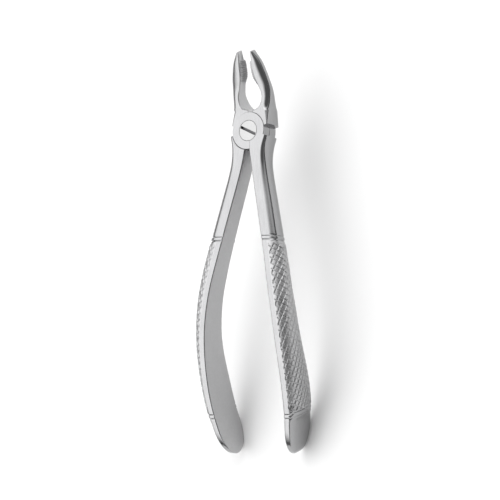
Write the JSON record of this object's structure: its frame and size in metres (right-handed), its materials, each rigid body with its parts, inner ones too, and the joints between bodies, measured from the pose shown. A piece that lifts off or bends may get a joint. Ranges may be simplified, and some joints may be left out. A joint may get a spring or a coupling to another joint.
{
  "type": "dental extraction forceps",
  "caption": "Stainless steel dental extraction forceps with slim serrated beaks, a lap joint held by a slotted screw, and bowed handles with a diamond-knurled grip.",
  "frame": {"origin": "on the joint screw's axis, at the front face of the joint", "axes": "+Z out of the screw head, +Y towards the beaks, +X towards the front lever's handle"},
  "size_m": [0.0502, 0.1715, 0.0387],
  "materials": {
    "polished_steel": "polished outer faces, satin inner faces",
    "screw_steel": "fine machined"
  },
  "bodies": {
    "rear": {"rear_lever": "polished_steel", "pivot_screw": "screw_steel"},
    "front": {"front_lever": "polished_steel"}
  },
  "joints": [
    {"name": "beak_hinge", "type": "hinge", "parent": "rear", "child": "front", "pos_m": [0, 0, 0], "axis": [0, 0, 1], "range_deg": [-9.5, 26]}
  ]
}
